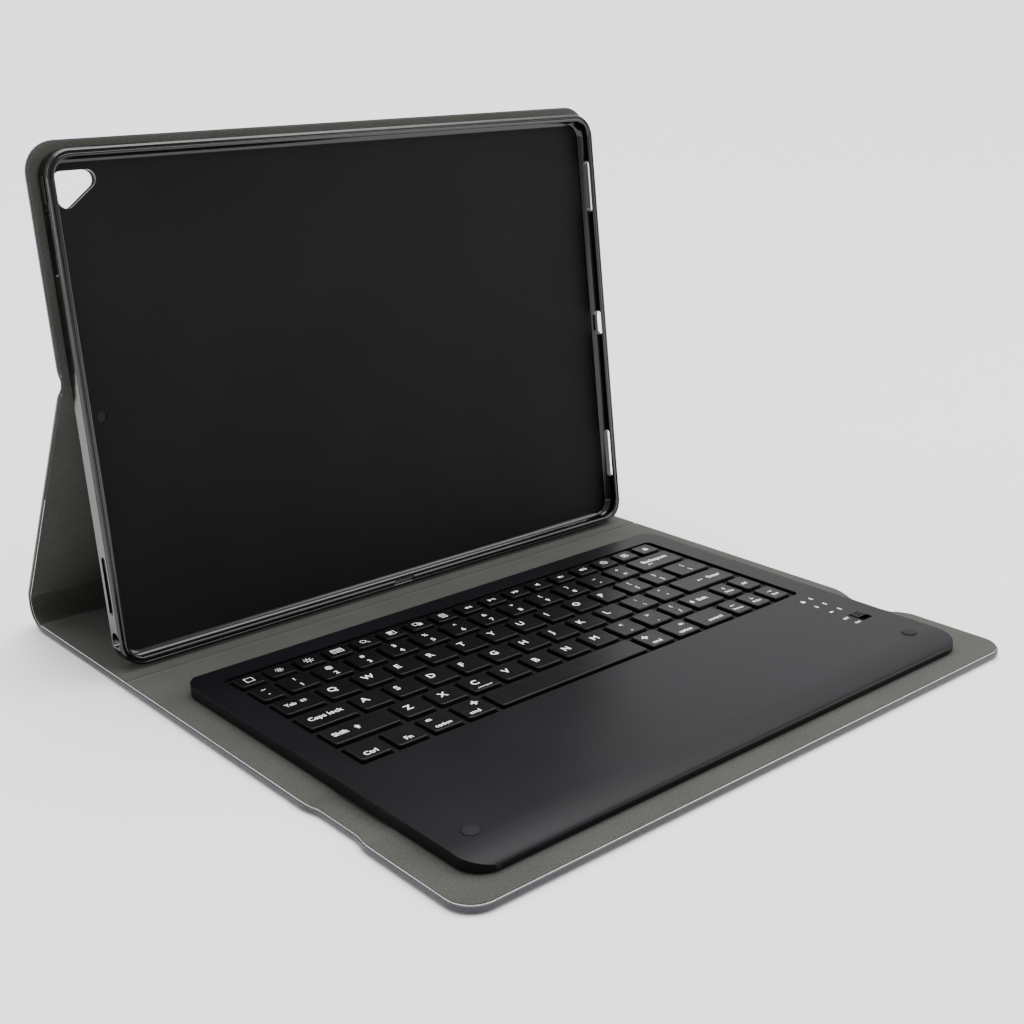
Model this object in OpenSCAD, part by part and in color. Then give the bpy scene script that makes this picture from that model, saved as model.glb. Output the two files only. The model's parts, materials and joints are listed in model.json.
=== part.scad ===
// Folding keyboard case for a large tablet, standing open in its typing position.
// A wrap-around cover in layered panels carries a soft tray, and a low keyboard lies on the base.

/* [Tablet] */
// Width of the tablet that the tray holds
tablet_w = 305.7; // [300:0.1:308]
// Height of the tablet as it stands in the tray
tablet_h = 220.6; // [216:0.1:222]
// Thickness of the tablet
tablet_t = 6.9; // [6:0.1:7.5]

/* [Tray] */
// Wall around the tablet
tray_wall = 2.2; // [1.8:0.1:2.6]
// Sheet behind the tablet
tray_back = 1.2; // [1:0.1:1.6]
// Gap left around the tablet
tray_fit = 0.45; // [0.2:0.05:0.6]
// Thickness of the lip over the tablet's edge
lip_t = 1.1; // [0.8:0.1:1.4]
// How far the lip reaches over the tablet's edge
lip_w = 1.6; // [1.2:0.1:2.2]
// Radius of the tray's outer corners
tray_r = 12; // [9:0.5:14]
// Lean of the standing tray from upright, in degrees
tray_lean = 6.8; // [6:0.1:7.5]

/* [Cover] */
// How far the cover shows beyond the tray
border = 4.2; // [3:0.1:6]
// Thickness of the base and the flap
base_t = 3.5; // [3.2:0.1:4]
// Thickness of the stand and the upper panel
back_t = 3.0; // [2.8:0.1:3.2]
// Thickness of the leather outside
leather_t = 0.9; // [0.7:0.05:1]
// Thickness of the lining inside
lining_t = 0.8; // [0.6:0.05:0.9]
// Depth of the closure flap
flap_d = 60; // [55:1:62]
// Width of the soft fold behind the flap
gusset_d = 34; // [31:1:36]
// Distance from the front edge to the spine
spine_y = 327; // [325:1:330]
// Distance from the front edge to the foot of the tray
tray_foot_y = 254.4; // [252:0.1:258]
// Length up the tray to the crease
crease_v = 128; // [126:0.5:130]
// Radius of the round spine
spine_r = 9.7; // [9:0.1:10.5]
// Turn of the round spine, in degrees
spine_turn = 119.2; // [118:0.1:121]

/* [Keyboard] */
// Width of the keyboard
kb_w = 287; // [284:1:290]
// Depth of the keyboard
kb_d = 200; // [198:1:204]
// Distance from the cover's front edge to the keyboard
kb_y = 12; // [10:0.5:14]
// How far the keyboard lies off the middle of the cover
kb_x = -2.5; // [-4:0.5:4]
// Height of the keyboard's front edge above its underside
kb_front_h = 2.1; // [1.8:0.1:2.4]
// Width of the front slope
kb_slope = 17; // [14:0.5:18]
// Radius of the keyboard's corners
kb_r = 11.5; // [10:0.5:14]

/* [Keys] */
// Side of a letter key
key = 14.5; // [14:0.1:14.8]
// Depth of a function key
key_f = 10.3; // [9.5:0.1:10.6]
// Gap between the keys of a row
key_gap = 3.2; // [2.8:0.1:3.3]
// Gap between the rows
row_gap = 3; // [2.7:0.1:3.1]
// Travel of a key
key_travel = 1.4; // [1:0.1:1.5]

/* [Hidden] */
$fn = 48;

big = 400;           // longer than any piece, for cutting right through
split = 1;           // gap between two panels at a fold
wrap = 1;            // leather turned round a board's edge
inset = 0.7;         // lining's edge, in from the cover's edge
board_r = 8;         // corner radius of the boards at the soft fold
panel_r = 3;         // corner radius of a panel at the spine or the crease
flap_r = 12;         // corner radius of the flap's front corners
soft_r = 2;          // corner radius of the soft fold
leather_c = "#232325";
lining_c = "#77766e";
board_c = "#b9a988";
tpu_c = "#161618";
case_c = "#2b2b30";
keycap_c = "#1b1b1c";
magnet_c = "#a8abb0";

// Tray and cover sizes
tray_w = tablet_w + 2 * (tray_fit + tray_wall);
tray_h = tablet_h + 2 * (tray_fit + tray_wall);
tray_d = tray_back + tablet_t + 0.1 + lip_t;
cover_w = tray_w + 2 * border;
mid_z = base_t / 2;
gusset_y = flap_d + gusset_d;
waist = 3;           // how far the soft fold's edges draw in

// Fold points in the side view, as [distance from the front edge, height]
foot = [tray_foot_y, base_t + 0.45];
up = [sin(tray_lean), cos(tray_lean)];
back = [cos(tray_lean), -sin(tray_lean)];
crease_in = 1.8;     // crease line, behind the tray's back face
crease = foot + crease_v * up + crease_in * back;
function spine_point(turn) = [spine_y + spine_r * sin(turn), mid_z + spine_r * (1 - cos(turn))];
fold_low = spine_point(0);
fold_mid = spine_point(spine_turn / 2);
fold_high = spine_point(spine_turn);
function slope(a, b) = atan2(b[1] - a[1], b[0] - a[0]);
spine_t = 2.2;       // thickness of the spine's leather and lining
spine_seam = 0.2;    // leather to lining, above the middle of the spine's thickness
base_end = 1.8;      // base's rear end, short of the spine's first fold
fold_end = 1.2;      // spine strip's end, short of a fold
panel_end = 1.9;     // stand or upper panel's end, short of a fold
rear_y = fold_high[0] + spine_t / 2;

// Keyboard heights
kb_z = base_t + 0.6;             // underside of the keyboard's case
top_z = kb_z + 5.2;              // flat top of the case
key_top = top_z + 0.4;
skin = 1.2;                      // wall of the top case
web_z = top_z - 1.4;             // floor of the key well
web_t = 1;
cover_z = kb_z + 0.7;            // top of the bottom cover
plate_z = cover_z + 0.3;         // top of the support plate
sheet_z = plate_z + 0.3;         // top of the contact membrane
key_h = 2.6;                     // key cap, from its top to its lower edge
cap_t = 0.9;
cap_wall = 1.1;
cap_r = 1.3;                     // upright corners of a key cap
hole_gap = 0.35;                 // key to the hole around it
dome_gap = 0.5;                  // dome to the underside of a pressed key
dome_h = key_top - cap_t - key_travel - dome_gap - sheet_z;
clip_t = 0.6;

// Keyboard layout: widths of the keys of each row, from the function row forward
row_w = 254.8;
row_x = -0.4;                    // how far the rows lie off the middle of the keyboard
function_keys = 17;
accent_w = 10.3;
tab_w = 19;
caps_lock_w = 23.3;
shift_w = 31.6;
slash_w = 11.3;
space_w = 85.1;
arrow_w = 10.4;
function letters(n) = [for (i = [1 : n]) key];
function sum(v, n) = n <= 0 ? 0 : v[n - 1] + sum(v, n - 1);
// A row's one key that takes what the others and the gaps leave
function rest(v) = row_w - sum(v, len(v)) - len(v) * key_gap;
key_rows = [
    [for (i = [1 : function_keys]) (row_w - (function_keys - 1) * key_gap) / function_keys],
    let (v = concat([accent_w], letters(12))) concat(v, [rest(v)]),
    let (v = concat([tab_w], letters(12))) concat(v, [rest(v)]),
    let (v = concat([caps_lock_w], letters(11))) concat(v, [rest(v)]),
    let (v = concat([shift_w], letters(9), [slash_w]), w = [arrow_w, arrow_w])
        concat(v, [rest(concat(v, w))], w),
    let (v = concat(letters(4), [space_w], letters(2)), w = [arrow_w, arrow_w, arrow_w])
        concat(v, [rest(concat(v, w))], w)
];
well_edge = 3.8;                 // key block to the side walls of the well
well_end = 2.6;                  // key block to the front and rear walls of the well
well_y = 84;                     // keyboard's front edge to the well
function key_x(row, i) = row_x - row_w / 2 + sum(key_rows[row], i) + i * key_gap;
function key_y(row) = well_y + well_end + (5 - row) * (key + row_gap);
function key_d(row) = row == 0 ? key_f : key;
function last(row) = len(key_rows[row]) - 1;
well_d = key_y(0) + key_f + well_end - well_y;

// Switch, lights and bumpers, from the keyboard's centre line and front edge
switch_x = 129.8;
switch_y = 46.7;
slot_w = 7.2;
slot_d = 9;
knob_w = 6.2;
knob_d = 5.4;
switch_travel = 3;
light_x = 129.5;
light_ys = [58.5, 67.2, 75.6];
light_w = 1;
light_l = 2.6;
bumper_x = 129.7;
bumper_y = 19.5;
bumper_r = 3.5;
bumper_in = 0.6;                 // depth of the round recess that a bumper is glued in
port_y = 62;
port_w = 8;
port_h = 2.5;
port_in = 6;
port_z = cover_z + 0.7;
screw_spots = [for (s = [-1, 1]) for (p = [[134, 30], [60, 28], [134, 192], [45, 192]]) [s * p[0], p[1]]];
boss_d = 4;                      // post that a screw holds in
thread_d = 1.6;
thread_l = 3.2;
head_d = 3.2;
head_h = 0.5;
foot_w = 20;
foot_l = 7;
foot_in = 0.2;                   // depth of the recess that a foot is glued in

// Places: from the front edge, on the standing tray, on a panel between two folds, on the keyboard
module from_front() { translate([0, -rear_y / 2, 0]) children(); }
module on_tray() {
    from_front() translate([0, foot[0], foot[1]]) rotate([90 - tray_lean, 0, 0]) children();
}
module on_fold(a, b) {
    from_front() translate([0, a[0], a[1]]) rotate([slope(a, b), 0, 0]) children();
}
module on_keyboard() { from_front() translate([kb_x, kb_y, 0]) children(); }

// Flat outline with round corners: front edge on Y = 0, radii given for the front and the back
module outline(w, d, r_front, r_back) {
    translate([-w / 2, r_front]) square([w, d - r_front - r_back]);
    translate([-w / 2 + r_front, 0]) square([w - 2 * r_front, r_front]);
    translate([-w / 2 + r_back, d - r_back]) square([w - 2 * r_back, r_back]);
    for (s = [-1, 1]) {
        translate([s * (w / 2 - r_front), r_front]) circle(r_front);
        translate([s * (w / 2 - r_back), d - r_back]) circle(r_back);
    }
}
module plate(w, d, h, r_front, r_back) { linear_extrude(h) outline(w, d, r_front, r_back); }
module bar(w, d, h) { translate([-w / 2, -d / 2, 0]) cube([w, d, h]); }

// The three layers of a panel: leather turned up round a board, with a lining over it
module panel_leather(w, d, t, r_front, r_back) {
    difference() {
        plate(w, d, t - lining_t, r_front, r_back);
        translate([0, wrap, leather_t]) plate(w - 2 * wrap, d - 2 * wrap, t, r_front - wrap, r_back - wrap);
    }
}
module panel_board(w, d, t, r_front, r_back) {
    translate([0, wrap, leather_t])
        plate(w - 2 * wrap, d - 2 * wrap, t - leather_t - lining_t, r_front - wrap, r_back - wrap);
}
module panel_lining(w, d, t, r_front, r_back) {
    translate([0, inset, t - lining_t])
        plate(w - 2 * inset, d - 2 * inset, lining_t, r_front - inset, r_back - inset);
}

// Flat bar magnets let into a board
magnet_l = 24;
magnet_w = 6;
case_front_magnet = [100, 33];   // the keyboard's own magnets, one on each side of its centre line
case_rear_magnet = [90, 192];
flap_magnets = [for (x = [-100, -40, 40, 100]) [x, kb_y + case_front_magnet.y]];
hold_magnets = [for (s = [-1, 1]) [kb_x + s * case_rear_magnet.x, kb_y + case_rear_magnet.y]];
dock_in = 14;                    // row of magnets in front of the tray's foot
dock_magnets = [for (x = [-120 : 60 : 120]) [x, foot[0] - dock_in]];
module board_magnets(spots) {
    for (p = spots) translate([p[0], p[1], leather_t])
        bar(magnet_l, magnet_w, base_t - leather_t - lining_t);
}

// Base panel
base_y = gusset_y + split / 2;
base_d = spine_y - base_end - base_y;
module on_base() { translate([0, base_y, 0]) children(); }
module base_outer_cover() {
    color(leather_c) from_front() on_base() panel_leather(cover_w, base_d, base_t, board_r, panel_r);
}
module base_board() {
    color(board_c) from_front() difference() {
        on_base() panel_board(cover_w, base_d, base_t, board_r, panel_r);
        board_magnets(hold_magnets);
        board_magnets(dock_magnets);
    }
}
module base_lining() {
    color(lining_c) from_front() on_base() panel_lining(cover_w, base_d, base_t, board_r, panel_r);
}
module tray_dock_magnets() { color(magnet_c) from_front() board_magnets(dock_magnets); }
module keyboard_hold_magnets() { color(magnet_c) from_front() board_magnets(hold_magnets); }

// Soft fold behind the closure flap: leather and lining with no board between them
module on_gusset() { translate([0, flap_d + split / 2, 0]) children(); }
gusset_len = gusset_d - split;
module gusset_cover() {
    color(leather_c) from_front() on_gusset()
        plate(cover_w - 2 * waist, gusset_len, base_t / 2, soft_r, soft_r);
}
module gusset_lining() {
    color(lining_c) from_front() on_gusset() translate([0, 0, base_t / 2])
        plate(cover_w - 2 * waist - 2 * inset, gusset_len, base_t / 2, soft_r, soft_r);
}

// Closure flap
flap_len = flap_d - split / 2;
module flap_outer_cover() {
    color(leather_c) from_front() panel_leather(cover_w, flap_len, base_t, flap_r, board_r);
}
module flap_board() {
    color(board_c) from_front() difference() {
        panel_board(cover_w, flap_len, base_t, flap_r, board_r);
        board_magnets(flap_magnets);
    }
}
module flap_lining() {
    color(lining_c) from_front() panel_lining(cover_w, flap_len, base_t, flap_r, board_r);
}
module closure_magnets() { color(magnet_c) from_front() board_magnets(flap_magnets); }

// Round spine: two soft strips, lower and upper, between three folds
module spine_strip(a, b, low, high, inward) {
    on_fold(a, b) translate([-cover_w / 2 + inward, fold_end, low])
        cube([cover_w - 2 * inward, norm(b - a) - 2 * fold_end, high - low]);
}
module spine_leather(a, b) { spine_strip(a, b, -spine_t / 2, spine_seam, 0); }
module spine_lining(a, b) { spine_strip(a, b, spine_seam, spine_t / 2, inset); }
module spine_lower_cover() { color(leather_c) spine_leather(fold_low, fold_mid); }
module spine_lower_lining() { color(lining_c) spine_lining(fold_low, fold_mid); }
module spine_upper_cover() { color(leather_c) spine_leather(fold_mid, fold_high); }
module spine_upper_lining() { color(lining_c) spine_lining(fold_mid, fold_high); }

// Stand panel, from the spine up to the crease behind the tray
stand_len = norm(crease - fold_high) - 2 * panel_end;
module on_stand() { on_fold(fold_high, crease) translate([0, panel_end, -back_t / 2]) children(); }
module stand_outer_cover() {
    color(leather_c) on_stand() panel_leather(cover_w, stand_len, back_t, panel_r, panel_r);
}
module stand_board() {
    color(board_c) on_stand() panel_board(cover_w, stand_len, back_t, panel_r, panel_r);
}
module stand_lining() {
    color(lining_c) on_stand() panel_lining(cover_w, stand_len, back_t, panel_r, panel_r);
}

// Upper panel, glued behind the upper part of the tray
upper_len = tray_h + border - crease_v - panel_end;
upper_r = tray_r + 2;
module on_upper() { on_tray() translate([0, crease_v + panel_end, -back_t]) children(); }
camera_r = 4;
camera_w = 19.4;
camera_h = 15.6;
camera_low = tray_h - tray_wall - tray_fit - camera_h - 6.1;
camera_left = -tray_w / 2 + tray_wall + tray_fit + 3.25;
// Centres of the camera window's three round corners
camera_corners = [[camera_left + camera_r, camera_low + camera_h - camera_r],
                  [camera_left + camera_w - camera_r, camera_low + camera_h - camera_r],
                  [camera_left + 5, camera_low + camera_r]];
module camera_window(grow = 0) {
    r = camera_r + grow;
    c = camera_corners;
    // Each edge pushed out by the corner radius, clockwise from the top left
    function out(i, j) = let (e = (c[j] - c[i]) / norm(c[j] - c[i])) r * [-e[1], e[0]];
    translate([0, 0, -big / 2]) linear_extrude(big) {
        polygon([for (i = [0 : 2]) let (j = (i + 1) % 3) each [c[i] + out(i, j), c[j] + out(i, j)]]);
        for (p = c) translate(p) circle(r);
    }
}
module upper_outer_cover() {
    color(leather_c) difference() {
        on_upper() panel_leather(cover_w, upper_len, back_t, panel_r, upper_r);
        on_tray() camera_window();
    }
}
board_back = 0.8;    // board's edge, back from the camera window
module upper_board() {
    color(board_c) difference() {
        on_upper() panel_board(cover_w, upper_len, back_t, panel_r, upper_r);
        on_tray() camera_window(board_back);
    }
}
module upper_lining() {
    color(lining_c) difference() {
        on_upper() panel_lining(cover_w, upper_len, back_t, panel_r, upper_r);
        on_tray() camera_window();
    }
}

// Tray: a soft moulded shell with a lip all round and windows for the tablet's own fittings
volume_u = -tray_w / 2 + 37;
volume_w = 26;
power_v = tray_h - 16;
power_w = 11;
pad_d = 4;
pad_z = tray_back + tablet_t / 2 - pad_d / 2;
pad_gap = 0.3;
pad_proud = 0.6;
slot_l = 27;
slot_h = 3.6;
slot_v = 74.5;       // sound slots, up and down from the middle of a side
charge_l = 13;
charge_h = 6;
headphone_v = 13.5;
headphone_l = 7;
headphone_h = 6.4;
microphone_d = 4.5;
microphone_in = 11.5;
microphone_v = tray_h * 0.497;
connector_gap = 12;
magnet_us = [-120, -60, 60, 120];
rim_magnet_in = 0.6;
module rim_magnets() {
    for (u = magnet_us) translate([u - magnet_l / 2, rim_magnet_in, pad_z])
        cube([magnet_l, tray_wall - 2 * rim_magnet_in, pad_d]);
}
module side_slot(v, len, d, side) {
    // Round-ended window through a side wall, centred at height v
    translate([side * tray_w / 2, v, tray_back + tablet_t / 2]) rotate([0, 90, 0])
        translate([0, 0, -5]) linear_extrude(10) {
            translate([-d / 2, -len / 2 + d / 2]) square([d, len - d]);
            for (s = [-1, 1]) translate([0, s * (len / 2 - d / 2)]) circle(d / 2);
        }
}
module tray_shell() {
    pocket_w = tray_w - 2 * tray_wall;
    pocket_h = tray_h - 2 * tray_wall;
    mouth_w = pocket_w - 2 * lip_w;
    mouth_h = pocket_h - 2 * lip_w;
    color(tpu_c) on_tray() difference() {
        plate(tray_w, tray_h, tray_d, tray_r, tray_r);
        translate([0, tray_wall, tray_back])
            plate(pocket_w, pocket_h, tray_d - tray_back - lip_t, tray_r - tray_wall, tray_r - tray_wall);
        translate([0, tray_wall + lip_w, tray_back])
            plate(mouth_w, mouth_h, tray_d, tray_r - tray_wall - lip_w, tray_r - tray_wall - lip_w);
        camera_window();
        // Microphone hole, near the left edge
        translate([-tray_w / 2 + microphone_in, microphone_v, -1])
            cylinder(d = microphone_d, h = tray_back + 2);
        for (side = [-1, 1]) for (s = [-1, 1]) side_slot(tray_h / 2 + s * slot_v, slot_l, slot_h, side);
        // Charging port on the right, headphone hole on the left
        side_slot(tray_h / 2, charge_l, charge_h, 1);
        side_slot(headphone_v, headphone_l, headphone_h, -1);
        // Connector gap in the bottom lip
        translate([-connector_gap / 2, tray_wall, tray_d - lip_t - 1])
            cube([connector_gap, lip_w + 2, lip_t + 2]);
        // Windows for the two button pads
        translate([volume_u - volume_w / 2 - pad_gap, tray_h - tray_wall - 1, pad_z - pad_gap])
            cube([volume_w + 2 * pad_gap, tray_wall + 2, pad_d + 2 * pad_gap]);
        translate([-tray_w / 2 - 1, power_v - power_w / 2 - pad_gap, pad_z - pad_gap])
            cube([tray_wall + 2, power_w + 2 * pad_gap, pad_d + 2 * pad_gap]);
        rim_magnets();
    }
}
module volume_pad() {
    color(tpu_c) on_tray() translate([volume_u - volume_w / 2, tray_h - tray_wall + pad_gap, pad_z])
        cube([volume_w, tray_wall - pad_gap + pad_proud, pad_d]);
}
module power_pad() {
    color(tpu_c) on_tray() translate([-tray_w / 2 - pad_proud, power_v - power_w / 2, pad_z])
        cube([tray_wall - pad_gap + pad_proud, power_w, pad_d]);
}
module tray_edge_magnets() { color(magnet_c) on_tray() rim_magnets(); }

// Side view of the keyboard's top case: a low front edge, a round slope and a flat top
rear_edge = 1.6;     // bevel along the rear
module case_side(in) {
    h0 = kb_front_h;
    h1 = top_z - kb_z;
    steps = 8;
    polygon(concat(
        [[in, -1], [kb_d - in, -1], [kb_d - in, h1 - rear_edge], [kb_d - rear_edge - in, h1 - in]],
        [for (i = [steps : -1 : 0]) let (t = i / steps * 90)
            [in + kb_slope * (1 - cos(t)), h0 + (h1 - h0) * sin(t) - in]]));
}
module case_body(in) {
    intersection() {
        translate([0, in, kb_z - 1]) plate(kb_w - 2 * in, kb_d - 2 * in, 10, kb_r - in, kb_r - in);
        translate([-big / 2, 0, kb_z]) rotate([90, 0, 90]) linear_extrude(big) case_side(in);
        translate([-big / 2, -1, kb_z]) cube([big, big, 10]);
    }
}
well_r = 3;
module well(grow, low) {
    translate([0, well_y - grow, low])
        plate(row_w + 2 * (well_edge + grow), well_d + 2 * grow, 10, well_r + grow, well_r + grow);
}
module key_holes() {
    for (row = [0 : 5]) for (i = [0 : last(row)])
        translate([key_x(row, i) - hole_gap, key_y(row) - hole_gap, web_z - 5])
            cube([key_rows[row][i] + 2 * hole_gap, key_d(row) + 2 * hole_gap, 10]);
}
module slot_hole() {
    translate([switch_x, switch_y - slot_d / 2, top_z - 3]) plate(slot_w, slot_d, 5, 1, 1);
}
module lights(gap, low, high) {
    for (y = light_ys) translate([light_x, y, low]) bar(light_w + gap, light_l + gap, high - low);
}
module port(grow) {
    translate([kb_w / 2 - port_in, port_y - port_w / 2 - grow, port_z - grow])
        cube([port_in + 2, port_w + 2 * grow, port_h + 2 * grow]);
}
module keyboard_top_case() {
    color(case_c) on_keyboard() difference() {
        union() {
            difference() {
                case_body(0);
                difference() {
                    case_body(skin);
                    well(skin, web_z - web_t);
                }
            }
            for (p = screw_spots) translate([p[0], p[1], cover_z])
                cylinder(d = boss_d, h = top_z - skin - cover_z);
        }
        well(0, web_z);
        key_holes();
        slot_hole();
        lights(0.1, top_z - 2, top_z + 1);
        for (s = [-1, 1]) translate([s * bumper_x, bumper_y, top_z - bumper_in])
            cylinder(r = bumper_r + 0.1, h = 2);
        for (p = screw_spots) translate([p[0], p[1], kb_z])
            cylinder(d = thread_d + 0.1, h = thread_l + 0.2);
        port(0.2);
        // Step for the bottom cover
        translate([0, skin, kb_z - 1])
            plate(kb_w - 2 * skin, kb_d - 2 * skin, 1 + cover_z - kb_z, kb_r - skin, kb_r - skin);
    }
}
foot_spots = [for (sx = [-1, 1]) for (y = [14, 178]) [sx * 122, y]];
module keyboard_bottom_cover() {
    color(case_c) on_keyboard() difference() {
        translate([0, skin + 0.1, kb_z])
            plate(kb_w - 2 * skin - 0.2, kb_d - 2 * skin - 0.2, cover_z - kb_z, kb_r - skin, kb_r - skin);
        for (p = screw_spots) translate([p[0], p[1], kb_z - 1]) {
            cylinder(d = thread_d + 0.3, h = 3);
            cylinder(d = head_d + 0.2, h = 1 + head_h);
        }
        for (p = foot_spots) translate([p[0], p[1], kb_z - 1]) bar(foot_w, foot_l, 1 + foot_in);
    }
}
foot_z = base_t + 0.3;
module keyboard_feet() {
    color("#3a3a3c") on_keyboard()
        for (p = foot_spots) translate([p[0], p[1], foot_z])
            bar(foot_w - 0.4, foot_l - 0.4, kb_z + foot_in - foot_z);
}
module case_screws() {
    color(magnet_c) on_keyboard() for (p = screw_spots) translate([p[0], p[1], kb_z]) {
        cylinder(d = head_d, h = head_h);
        cylinder(d = thread_d, h = thread_l);
    }
}
module key_support_plate() {
    color(magnet_c) on_keyboard() translate([0, well_y - 1, cover_z])
        plate(row_w + 2 * well_edge - 1, well_d + 1, plate_z - cover_z, 2, 2);
}
module contact_membrane() {
    color("#1e1e20") on_keyboard() translate([0, well_y, plate_z])
        plate(row_w + 2 * well_edge - 2, well_d - 1, sheet_z - plate_z, 2, 2);
}
long_key = 60;
// A long key has two domes and two clips
function key_centres(row, i) = let (w = key_rows[row][i], x = key_x(row, i) + w / 2)
    w > long_key ? [x - w / 4, x + w / 4] : [x];
dome_d = 4.4;
dome_top_d = 2.4;
module key_domes() {
    color("#55555a") on_keyboard() for (row = [0 : 5]) for (i = [0 : last(row)])
        for (x = key_centres(row, i)) translate([x, key_y(row) + key_d(row) / 2, sheet_z])
            cylinder(d1 = dome_d, d2 = dome_top_d, h = dome_h, $fn = 24);
}
clip_most = [9.6, 8];            // largest clip
clip_less = [4.6, 4.4];          // a clip's width and depth, less than its key's
clip_arm = 0.5;
module scissor_clips() {
    color("#d8d8d4") on_keyboard() for (row = [0 : 5]) for (i = [0 : last(row)])
        for (x = key_centres(row, i)) translate([x, key_y(row) + key_d(row) / 2, sheet_z])
            linear_extrude(clip_t) difference() {
                clip_w = min(clip_most.x, key_rows[row][i] - clip_less.x);
                clip_d = min(clip_most.y, key_d(row) - clip_less.y);
                square([clip_w, clip_d], center = true);
                square([clip_w - clip_arm * 2, clip_d - clip_arm * 2], center = true);
            }
}
circuit_size = [38, 44, 0.6];
battery_size = [92, 42, 2.6];
module circuit_board() {
    color("#1f5b3a") on_keyboard() translate([102, 38, cover_z]) cube(circuit_size);
}
module battery_cell() {
    color("#c9cacc") on_keyboard() translate([-60, 36, cover_z]) cube(battery_size);
}
socket_l = 5.6;
socket_w = port_w - 0.2;
socket_x = kb_w / 2 - skin - socket_l + 0.2;
module charging_socket() {
    color(magnet_c) on_keyboard() difference() {
        translate([socket_x, port_y - socket_w / 2, port_z]) cube([socket_l, socket_w, port_h]);
        translate([socket_x + 1, port_y - socket_w / 2 + 0.5, port_z + 0.4])
            cube([socket_l, socket_w - 1, port_h - 0.8]);
    }
}
switch_size = [8, 13, 1.9];
module switch_body() {
    color("#101012") on_keyboard() translate([switch_x, switch_y, cover_z + circuit_size.z])
        bar(switch_size.x, switch_size.y, switch_size.z);
}
knob_z = cover_z + circuit_size.z + switch_size.z + 0.3;
groove = 0.5;
groove_step = 1.5;
module switch_knob() {
    color(case_c) on_keyboard() difference() {
        translate([switch_x, switch_y + switch_travel / 2, knob_z])
            bar(knob_w, knob_d, key_top - knob_z);
        for (s = [-1, 0, 1])
            translate([switch_x, switch_y + switch_travel / 2 + s * groove_step, key_top - groove])
                bar(knob_w - 1.6, 0.6, 2);
    }
}
module led_lenses() { color("#dfe4e6") on_keyboard() lights(0, top_z - skin - 0.6, top_z); }
module screen_bumpers() {
    r = bumper_r;
    h = 2 * bumper_in;
    color("#202022") on_keyboard() for (s = [-1, 1]) translate([s * bumper_x, bumper_y, top_z - bumper_in])
        rotate_extrude() polygon([[0, 0], [r, 0], [r, h - 0.4], [r - 0.5, h - 0.1], [0, h]]);
}
case_magnet_t = 1.5;
module keyboard_magnets() {
    color(magnet_c) on_keyboard() for (s = [-1, 1]) for (p = [case_front_magnet, case_rear_magnet])
        translate([s * p.x, p.y, cover_z]) bar(magnet_l, magnet_w, case_magnet_t);
}

// Key caps: open below, with round upright edges
module keycap(w, d) {
    difference() {
        translate([w / 2, 0, 0]) plate(w, d, key_h, cap_r, cap_r);
        translate([cap_wall, cap_wall, -1]) cube([w - 2 * cap_wall, d - 2 * cap_wall, 1 + key_h - cap_t]);
    }
}
module keys(row, first, end) {
    color(keycap_c) on_keyboard() for (i = [first : end])
        translate([key_x(row, i), key_y(row), key_top - key_h]) keycap(key_rows[row][i], key_d(row));
}
module keys_function_row() { keys(0, 0, last(0)); }
module keys_number_row() { keys(1, 0, 12); }
module key_backspace() { keys(1, 13, 13); }
module key_tab() { keys(2, 0, 0); }
module keys_upper_letter_row() { keys(2, 1, 13); }
module key_caps_lock() { keys(3, 0, 0); }
module keys_home_row() { keys(3, 1, 11); }
module key_enter() { keys(3, 12, 12); }
module key_shift_left() { keys(4, 0, 0); }
module keys_lower_letter_row() { keys(4, 1, 10); }
module key_shift_right() { keys(4, 11, 11); }
module keys_modifiers_left() { keys(5, 0, 3); }
module key_space() { keys(5, 4, 4); }
module keys_modifiers_right() { keys(5, 5, 7); }
module keys_navigation() {
    keys(4, 12, 13);
    keys(5, 8, 10);
}

base_outer_cover();
base_board();
base_lining();
tray_dock_magnets();
keyboard_hold_magnets();
gusset_cover();
gusset_lining();
flap_outer_cover();
flap_board();
flap_lining();
closure_magnets();
spine_lower_cover();
spine_lower_lining();
spine_upper_cover();
spine_upper_lining();
stand_outer_cover();
stand_board();
stand_lining();
upper_outer_cover();
upper_board();
upper_lining();
tray_shell();
volume_pad();
power_pad();
tray_edge_magnets();
keyboard_top_case();
keyboard_bottom_cover();
key_support_plate();
contact_membrane();
key_domes();
scissor_clips();
circuit_board();
battery_cell();
charging_socket();
switch_body();
led_lenses();
screen_bumpers();
keyboard_feet();
case_screws();
keyboard_magnets();
switch_knob();
keys_function_row();
keys_number_row();
key_backspace();
key_tab();
keys_upper_letter_row();
key_caps_lock();
keys_home_row();
key_enter();
key_shift_left();
keys_lower_letter_row();
key_shift_right();
keys_modifiers_left();
key_space();
keys_modifiers_right();
keys_navigation();
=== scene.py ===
import json
import math
import bmesh
import bpy
import numpy as np
from mathutils import Matrix, Vector


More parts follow.
